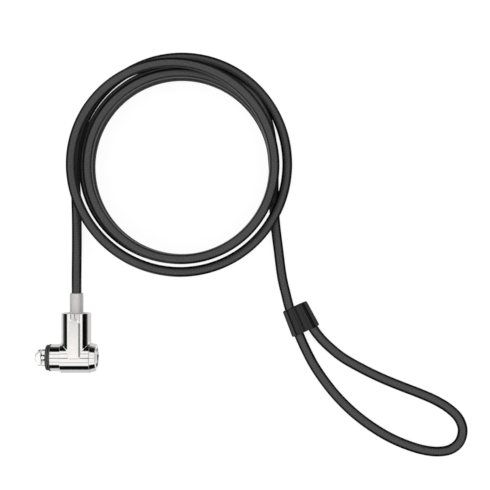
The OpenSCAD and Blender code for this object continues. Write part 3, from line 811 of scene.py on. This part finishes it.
# Grain of a worked surface: fine mottling stretched by a vector, slow clouds and hairline scratches
def grainGroup():
    tree, given, result = newGroup("workedGrain", {"Stretch": (1, 1, 1), "Grain Scale": 4000.0},
                                   ["Fine", "Cloud", "Scratch"])
    place = objectPlace(tree)
    stretched = vectorMath("MULTIPLY", place, given["Stretch"])
    feed(result["Fine"], noise(stretched, given["Grain Scale"], 3, 0.6))
    feed(result["Cloud"], noise(place, 210, 3, 0.55).mapped(0.36, 0.64))
    lines = []
    for turn, size in (((0.25, 0.1, 0.5), 11000), ((-0.3, 0.5, -0.9), 13000)):
        mapping = tree.nodes.new("ShaderNodeMapping")
        feed(mapping.inputs["Vector"], place)
        feed(mapping.inputs["Rotation"], turn)
        feed(mapping.inputs["Scale"], (1, 0.02, 1))
        lines.append(noise(Term(mapping.outputs[0]), size, 1, 0.4).mapped(0.70, 0.76))
    patches = noise(place, 330, 1).mapped(0.45, 0.6)
    feed(result["Scratch"], lines[0].atLeast(lines[1]) * patches)
    return tree


# Tool lines of turned work: sine of the distance along the axis, broken up by slow noise
def turnedGroup():
    tree, given, result = newGroup("turnedLines", {"Axis": (1, 0, 0), "Pitch": 0.00018}, ["Height"])
    place = objectPlace(tree)
    along = vectorMath("DOT_PRODUCT", place, given["Axis"]) / given["Pitch"] + noise(place, 90, 1) * 2.5
    deep = noise(place, 700, 2).mapped(0.3, 0.7, 0.35, 1)
    feed(result["Height"], (along * (2 * math.pi)).math("SINE") * deep)
    return tree


# Worn or polished edges: pointiness above a start, broken up by noise
def edgeGroup():
    tree, given, result = newGroup("wornEdge", {"Start": 0.52, "Width": 0.05}, ["Edge"])
    sharp = Term(tree.nodes.new("ShaderNodeNewGeometry").outputs["Pointiness"])
    share = ((sharp - given["Start"]) / given["Width"]).clamped()
    feed(result["Edge"], share * noise(objectPlace(tree), 1900, 3).mapped(0.3, 0.6, 0.45, 1))
    return tree


# Twist of a steel rope felt through its jacket, from UV: strand crests |sin(pi q)| with q the
# strand number, wire lines across them, and the fine skin of drawn vinyl
def ropeGroup():
    values = {"Strands": 6.0, "Lay": 0.017, "Wire Pitch": 0.0011, "Wire Lean": 2.0}
    tree, given, result = newGroup("ropeTwist", values, ["Height", "Wires", "Skin"])
    around, along, _ = Term(tree.nodes.new("ShaderNodeUVMap").outputs["UV"]).axes()
    strand = (around + along / given["Lay"]) * given["Strands"]
    crest = abs((strand * math.pi).math("SINE"))
    wire = along / given["Wire Pitch"] - around * given["Wire Lean"]
    wires = (wire * (2 * math.pi)).math("SINE") * 0.5 + 0.5
    feed(result["Height"], crest)
    feed(result["Wires"], wires * crest.mapped(0.2, 0.9, 0.4, 1))
    feed(result["Skin"], noise(objectPlace(tree), 3800, 3, 0.6))
    return tree


# Lint and dust on dark rubber and vinyl: specks, and a thin film that lies thicker in the clouds
def dustGroup():
    tree, given, result = newGroup("dustFilm", {"Speck Scale": 2600.0}, ["Film", "Specks"])
    place = objectPlace(tree)
    feed(result["Film"], noise(place, 160, 4, 0.6).mapped(0.4, 0.7))
    feed(result["Specks"], noise(place, given["Speck Scale"], 2, 0.5).mapped(0.68, 0.75))
    return tree


groups = {"grain": grainGroup(), "turned": turnedGroup(), "edge": edgeGroup(), "rope": ropeGroup(),
          "dust": dustGroup()}


def addGroup(tree, name, **values):
    node = tree.nodes.new("ShaderNodeGroup")
    node.node_tree = groups[name]
    for label, value in values.items():
        feed(node.inputs[label.replace("_", " ")], value)
    return {socket.name: Term(socket) for socket in node.outputs}


def mixColors(share, low, high):
    node = share.tree.nodes.new("ShaderNodeMix")
    node.data_type = "RGBA"
    feed(node.inputs["Factor"], share)
    for name, color in (("A", low), ("B", high)):
        feed(node.inputs[name], (*color, 1) if isinstance(color, tuple) else color)
    return Term(node.outputs["Result"])


# Bump from (height, depth in mm) pairs added together
def addBump(inputs, pairs):
    parts = [height * (depth * mm) for height, depth in pairs]
    total = parts[0]
    for part in parts[1:]:
        total = total + part
    bump = total.tree.nodes.new("ShaderNodeBump")
    feed(bump.inputs["Strength"], 1.0)
    feed(bump.inputs["Distance"], 1.0)
    feed(bump.inputs["Height"], total)
    feed(inputs["Normal"], Term(bump.outputs["Normal"]))


metalSettings = {
    # name: base colour, second colour, roughness, its spread, grain stretch; tool line axis, line depth in mm
    "chromeHousing": ((0.935, 0.925, 0.915), (0.905, 0.892, 0.88), 0.045, 0.035, (1, 1, 1)),
    "chromeBarrel": ((0.93, 0.92, 0.91), (0.90, 0.888, 0.876), 0.05, 0.04, (1, 1, 1), (1, 0, 0), 0.000008),
    "padSatin": ((0.99, 0.955, 0.93), (0.97, 0.935, 0.91), 0.085, 0.03, (1, 0.06, 1)),
    "guardSteel": ((0.95, 0.942, 0.935), (0.92, 0.91, 0.90), 0.06, 0.04, (1, 1, 0.1)),
    "tBarSteel": ((0.985, 0.978, 0.972), (0.965, 0.957, 0.95), 0.05, 0.03, (0.15, 1, 1)),
    "satinNickel": ((0.90, 0.875, 0.86), (0.86, 0.835, 0.82), 0.55, 0.06, (1, 1, 1), (0, 1, 0), 0.0004),
    "postNickel": ((0.90, 0.885, 0.87), (0.84, 0.825, 0.81), 0.16, 0.06, (1, 1, 1), (1, 0, 0), 0.0002),
    "socketSatin": ((0.86, 0.85, 0.84), (0.80, 0.79, 0.78), 0.2, 0.05, (1, 1, 1), (1, 0, 0), 0.0002),
    # near-black finish of the notch channel: painted shade
    "notchShadeSteel": ((0.035, 0.034, 0.033), (0.06, 0.058, 0.055), 0.5, 0.1, (1, 1, 1)),
    "rodSteel": ((0.72, 0.71, 0.70), (0.62, 0.61, 0.60), 0.3, 0.1, (1, 1, 1), (1, 0, 0), 0.0004),
    "pinBrass": ((0.80, 0.60, 0.27), (0.66, 0.46, 0.2), 0.24, 0.12, (1, 1, 1), (1, 0, 0), 0.0003),
    "springWire": ((0.62, 0.62, 0.62), (0.5, 0.49, 0.48), 0.3, 0.1, (1, 1, 1)),
    "crimpAluminium": ((0.80, 0.80, 0.80), (0.72, 0.72, 0.72), 0.34, 0.1, (1, 1, 1)),
}
# stations along X, in metres, between which painted shade deep in the socket and low on the post gives way to clean
# metal
recessShadeStations = {"socketSatin": (0.0194, 0.01985), "postNickel": (0.01978, 0.01992)}
# painted shade in the recess of the key end: its near-black colour, ragged edge, the socket's sides and its roughness
recessShadeSettings = {
    "color": (0.006, 0.005, 0.003),
    "ragged": 0.00006,  # metres by which the painted shade's edge wanders
    "socketSides": (0.0029, 0.0022),  # distances along Y, in metres, between which the painted shade on the socket's sides gives way to clean metal
    "roughness": 0.5,
}


# Metal with cloudy polish, hairline scratches and, where it is turned, tool lines; in the socket and on the post,
# painted shade deep in the recess
def makeMetal(name):
    low, high, rough, spread, stretch, *lines = metalSettings[name]
    material, tree, inputs = newMaterial(name)
    grain = addGroup(tree, "grain", Stretch=stretch, Grain_Scale=4200.0)
    edge = addGroup(tree, "edge", Start=0.53, Width=0.06)["Edge"]
    tone = (grain["Cloud"] * 0.7 + grain["Fine"] * 0.3 - edge * 0.5).clamped()
    color = mixColors(tone, low, high)
    varied = grain["Cloud"] * spread + rough + (grain["Fine"] - 0.5) * spread
    varied = (varied + grain["Scratch"] * 0.12).clamped()
    metallic = 0.5 if name == "satinNickel" else 1
    # painted shade: near-black, rough and not metallic deep in the socket, on the socket's sides and low on the post
    if name in recessShadeStations:
        along, side, _ = objectPlace(tree).axes()
        metallic = (along + (grain["Cloud"] - 0.5) * recessShadeSettings["ragged"]).mapped(*recessShadeStations[name])
        if name == "socketSatin":
            metallic = metallic * abs(side).mapped(*recessShadeSettings["socketSides"])
        color = mixColors(metallic, recessShadeSettings["color"], color)
        varied = (varied + (1.0 - metallic) * recessShadeSettings["roughness"]).clamped()
    feed(inputs["Base Color"], color)
    feed(inputs["Metallic"], metallic)
    feed(inputs["Roughness"], varied)
    pairs = [(grain["Scratch"], -0.00002 if name == "padSatin" else -0.00008), (grain["Fine"], 0.0012 * rough)]
    if lines:
        pairs.append((addGroup(tree, "turned", Axis=lines[0], Pitch=0.00016)["Height"], lines[1]))
    addBump(inputs, pairs)
    return material


vinylSettings = {
    "color": (0.092, 0.092, 0.093),
    # near-black colour: painted shade on the cable's edges, and the dark between the wires of the rope's pattern
    "deep": (0.0020, 0.0020, 0.0023),
    "dust": (0.09, 0.088, 0.085),
    "turned": (0.11, 0.27),  # how far the skin turns away from the eye where the painted shade on its edges starts and is full
    "roughness": 0.30,
    "specular": 0.3,
    "coat": (0.2, 0.17),  # weight and roughness
    "wireShare": 0.28,
    "strandDepth": 0.010,
    "wireDepth": 0.006,
    "skinDepth": 0.0008,
}


# Dark vinyl drawn over the rope: the rope shows through as a soft twist; where the skin turns away
# from the eye the colour goes near-black, a painted shade on the cable's edges
def makeCableVinyl():
    material, tree, inputs = newMaterial("cableVinyl")
    v = vinylSettings
    rope, dust = addGroup(tree, "rope"), addGroup(tree, "dust")
    start, stop = v["turned"]
    # painted shade: the colour darkens towards the cable's edges as the skin turns away from the eye
    path = ((turnedAway(tree) - start) / (stop - start)).clamped()
    clear = mixColors(path, v["color"], v["deep"])
    clear = mixColors((1.0 - rope["Wires"]) * v["wireShare"], clear, v["deep"])
    share = (dust["Film"] * 0.05 + dust["Specks"] * 0.2).clamped()
    feed(inputs["Base Color"], mixColors(share, clear, v["dust"]))
    feed(inputs["Coat Weight"], v["coat"][0])
    feed(inputs["Coat Roughness"], v["coat"][1])
    feed(inputs["Specular IOR Level"], v["specular"])
    rough = rope["Skin"] * 0.10 + (v["roughness"] - 0.05)
    feed(inputs["Roughness"], (rough + dust["Film"] * 0.06).clamped())
    addBump(inputs, [(rope["Height"], v["strandDepth"]), (rope["Wires"], v["wireDepth"]),
                     (rope["Skin"], v["skinDepth"])])
    return material


softSettings = {
    # name: colour, lighter colour, roughness, grain depth in mm, dust share
    "bumperRubber": ((0.082, 0.082, 0.083), (0.125, 0.124, 0.122), 0.45, 0.008, 0.3),
    "sleeveVinyl": ((0.0040, 0.0040, 0.0044), (0.010, 0.010, 0.010), 0.19, 0.001, 0.2),
    # near-black tongue: painted shade in the gap between the prongs
    "gapShadeRubber": ((0.004, 0.004, 0.004), (0.02, 0.02, 0.02), 0.6, 0.004, 0.2),
}
mouldSettings = {
    "bow": -0.0043,  # mm by which the sleeve's skin falls, times the fourth power of the distance across in mm
    "bowEnd": 3.95,
    "pale": (3.8, 4.1),  # distances across, in mm, between which a painted sheen makes the sleeve paler
    "paintedSheenColor": (0.04, 0.04, 0.041),
    "dull": (-0.3, 0.55, 0.3),  # dull stripe: its middle, and the half widths where it starts and is full
    "dullRoughness": 0.7,
    "rimTurned": (0.22, 0.6),  # how far the rubber turns away from the eye where the painted shade on its rim starts and is full
    "rimShadeColor": (0.006, 0.006, 0.006),
}


# Distance across the eye's sleeve in mm, with its widening taken out
def acrossSleeve(tree):
    down, across = sleeveAxes()
    middle = np.array(sleeveSettings["middle"])
    place = objectPlace(tree)
    along, side = (vectorMath("DOT_PRODUCT", place, tuple(v / mm)) - float(v @ middle) for v in (down, across))
    spread = (eyeSettings["halfLow"] / eyeSettings["halfTop"] - 1) / sleeveSettings["length"]
    return side / (along * spread + 1.0)


# Moulded rubber or plastic: pebbled skin, rubbed edges and a little dust; painted sheen on the sleeve's outer bands
# and painted shade on the bumper's rim
def makeMoulded(name):
    low, high, rough, depth, dusty = softSettings[name]
    material, tree, inputs = newMaterial(name)
    m = mouldSettings
    grain = addGroup(tree, "grain", Grain_Scale=5200.0)
    edge = addGroup(tree, "edge", Start=0.52, Width=0.08)["Edge"]
    dust = addGroup(tree, "dust", Speck_Scale=3200.0)
    share = (dust["Film"] * dusty + edge * 0.5 + dust["Specks"] * 0.3).clamped()
    color = mixColors(share, low, high)
    varied = grain["Cloud"] * 0.08 + (rough - 0.04) + grain["Fine"] * 0.08 - edge * 0.1
    pairs = [(grain["Fine"], depth), (dust["Specks"], 0.004), (grain["Scratch"], -0.0006)]
    if name == "sleeveVinyl":
        across = acrossSleeve(tree)
        middle, start, full = m["dull"]
        varied = abs(across - middle).mapped(start, full) * m["dullRoughness"] + rough
        across = abs(across)
        pairs.append((across.math("MINIMUM", m["bowEnd"]) ** 4, m["bow"]))
        # painted sheen: the sleeve's outer bands get paler
        color = mixColors(across.mapped(*m["pale"]), color, m["paintedSheenColor"])
    # painted shade: the bumper goes near-black where it turns away from the eye
    if name == "bumperRubber":
        color = mixColors(turnedAway(tree).mapped(*m["rimTurned"]), color, m["rimShadeColor"])
    feed(inputs["Base Color"], color)
    feed(inputs["Roughness"], varied.clamped())
    addBump(inputs, pairs)
    return material


# Bare end of the rope: wires drawn by stripes that lean round the axis of a straight stub
def makeRopeSteel():
    material, tree, inputs = newMaterial("ropeSteel")
    grain = addGroup(tree, "grain", Grain_Scale=5000.0)
    lean = vectorMath("DOT_PRODUCT", objectPlace(tree), (900.0, 1500.0, 700.0))
    wires = abs((lean * math.pi).math("SINE"))
    feed(inputs["Base Color"], mixColors(wires, (0.28, 0.27, 0.26), (0.66, 0.65, 0.64)))
    feed(inputs["Roughness"], grain["Fine"].mapped(0, 1, 0.25, 0.42))
    feed(inputs["Metallic"], 1)
    addBump(inputs, [(wires, 0.05), (grain["Fine"], 0.002)])
    return material


finishes = {name: makeMetal(name) for name in metalSettings}
finishes.update({name: makeMoulded(name) for name in softSettings})
finishes["cableVinyl"] = makeCableVinyl()
finishes["ropeSteel"] = makeRopeSteel()


def dress(piece, finish):
    piece.data.materials.clear()
    piece.data.materials.append(finishes[finish])


for piece, finish in pieceFinishes:
    dress(piece, finish)

# finish of each node by the start of its name; the first that fits is used
nodeFinish = {
    "chromeHousing": ("t_housing",), "chromeBarrel": ("barrel_shell", "end_cap"), "bumperRubber": ("bumper",),
    "guardSteel": ("guard_plate",), "tBarSteel": ("t_bar",), "postNickel": ("key_rotor", "socket_ring"),
    "satinNickel": ("cable_ferrule", "stem_bush"), "sleeveVinyl": ("eye_sleeve",), "crimpAluminium": ("eye_crimp",),
    "ropeSteel": ("cable_core",), "cableVinyl": ("cable_", "eye_jacket"), "springWire": ("pin_spring",),
    "pinBrass": ("pin_block", "thrust_washer", "key_pin"), "rodSteel": ("",),
}
for name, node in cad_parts.items():
    if node.name in bpy.data.objects:
        dress(node, next(finish for finish, starts in nodeFinish.items() if name.startswith(starts)))
print("stage: materials")


studioSettings = {
    "floorSize": 3.0,
    "floorColor": (0.95, 0.95, 0.95, 1),
    "floorGlow": 0.7,  # share of the floor's light that the camera sees as its own
    "cameraLevel": 1.25,  # white that the camera sees in the floor and behind it
    "domeLean": (-0.10, -0.041),  # slopes of the white dome's middle along X and Y
    "domeNarrow": 0.10,  # how much shorter the dome is along Y
    "domeEdge": (0.43, 0.53),  # cosine from the dome's middle where it goes from dark to white
    "domeLevel": 1.25,
    # slope, level and width of each seam between the dome's panels
    "seams": {"X": ((-0.74, 0.1, 0.14), (-0.066, 0.0, 0.08), (0.617, 0.15, 0.075)),
              "Y": ((-0.67, 0.4, 0.085), (0.0, 0.0, 0.09), (0.67, 0.3, 0.085))},
    "seamFade": (0.32, 0.6),  # slope the other way over which a seam fades out
    "corner": (0.335, 0.365, -0.25, 0.8),  # X times Y where corners go white, how low they reach, their level
    "darkLevel": 0.003,
    "softLevel": 1.2,  # strength of the dome as soft light
    "paper": ((-0.018, 0.051), (-0.066, 0.034)),  # white paper that shines back into the metal, in metres
    "paperEdge": 0.006,
    "paperLevel": 0.66,
    "disc": ((0.0544, 0.077), 0.034),  # middle and radius of the white paper inside the coil
    "endCard": ((0.0206, 0.034), (-0.009, 0.0058), 0.0008, 1.05),  # small card at the key end, its edge and level
    "farLevel": 0.05,
}


# Mask of a card: inside both ranges, with a soft edge
def card(axes, ranges, edge):
    sides = [((axis - low) / edge).clamped() * ((high - axis) / edge).clamped()
             for axis, (low, high) in zip(axes, ranges)]
    return sides[0] * sides[1]


# White floor that keeps the shadow, and shines into the metal only where its papers lie
def makeFloor():
    s = studioSettings
    half = s["floorSize"] / 2
    z = cableSettings["floorZ"] * mm - 0.00005
    x, y = cameraSettings["place"][0] * mm, cameraSettings["place"][1] * mm
    floor = meshFromArrays("floor", [(x - half, y - half, z), (x + half, y - half, z),
                                     (x + half, y + half, z), (x - half, y + half, z)], [(0, 1, 2, 3)])
    material = bpy.data.materials.new("floor")
    tree, (out, mix, diffuse, glow, path) = emptyTree(material, "OutputMaterial", "MixShader", "BsdfDiffuse",
                                                      "Emission", "LightPath")
    feed(diffuse.inputs["Color"], s["floorColor"])
    axes = objectPlace(tree).axes()
    (discX, discY), radius = s["disc"]
    away = ((axes[0] - discX) ** 2 + (axes[1] - discY) ** 2).math("SQRT")
    inside = ((radius - away) / s["paperEdge"]).clamped()
    wide, tall, edge, bright = s["endCard"]
    shine = card(axes, s["paper"], s["paperEdge"]) * (s["paperLevel"] - s["farLevel"]) + s["farLevel"]
    shine = shine.atLeast(inside).atLeast(card(axes, (wide, tall), edge) * bright)
    seen = Term(path.outputs["Is Camera Ray"]) + Term(path.outputs["Is Transmission Ray"])
    glossy = Term(path.outputs["Is Glossy Ray"])
    feed(glow.inputs["Strength"], seen * s["cameraLevel"] + glossy * shine)
    feed(mix.inputs["Fac"], seen * s["floorGlow"] + glossy)
    tree.links.new(diffuse.outputs["BSDF"], mix.inputs[1])
    tree.links.new(glow.outputs["Emission"], mix.inputs[2])
    tree.links.new(mix.outputs["Shader"], out.inputs["Surface"])
    floor.data.materials.append(material)


# White dome with a lean, thin dark seams between its panels, and dark below it
def makeWorld():
    s = studioSettings
    world = bpy.data.worlds.new("studio")
    bpy.context.scene.world = world
    tree, (out, where, path, back) = emptyTree(world, "OutputWorld", "TexCoord", "LightPath", "Background")
    ray = Term(where.outputs["Generated"])
    x, y, z = ray.axes()
    leanX, leanY = s["domeLean"]
    size = math.sqrt(leanX ** 2 + leanY ** 2 + 1)
    facing = vectorMath("DOT_PRODUCT", ray, (leanX / size, leanY / size, 1 / size)) - y ** 2 * s["domeNarrow"]
    low, high = s["domeEdge"]
    dome = ((facing - low) / (high - low)).clamped()
    slopes = {"X": x / z.atLeast(0.05), "Y": y / z.atLeast(0.05)}
    for axis, other in ("XY", "YX"):
        fade = abs(slopes[other]).mapped(*s["seamFade"])
        for seam, keep, width in s["seams"][axis]:
            line = (abs(slopes[axis] - seam) / (width * (1 + seam * seam))).clamped().atLeast(fade)
            dome = dome * (line * (1 - keep) + keep)
    low, high, least, white = s["corner"]
    corner = ((abs(x * y) - low) / (high - low)).clamped() * z.math("GREATER_THAN", least)
    dome = dome.atLeast(corner * white)
    level = dome * (s["domeLevel"] - s["darkLevel"]) + s["darkLevel"]
    soft = Term(path.outputs["Is Diffuse Ray"]) * (s["softLevel"] / s["domeLevel"] - 1) + 1
    seen = (level * soft).atLeast(Term(path.outputs["Is Camera Ray"]) * s["cameraLevel"])
    feed(back.inputs["Strength"], seen)
    tree.links.new(back.outputs["Background"], out.inputs["Surface"])


makeFloor()
makeWorld()
bpy.context.scene.view_settings.view_transform = "Standard"
print("stage: floor and light")
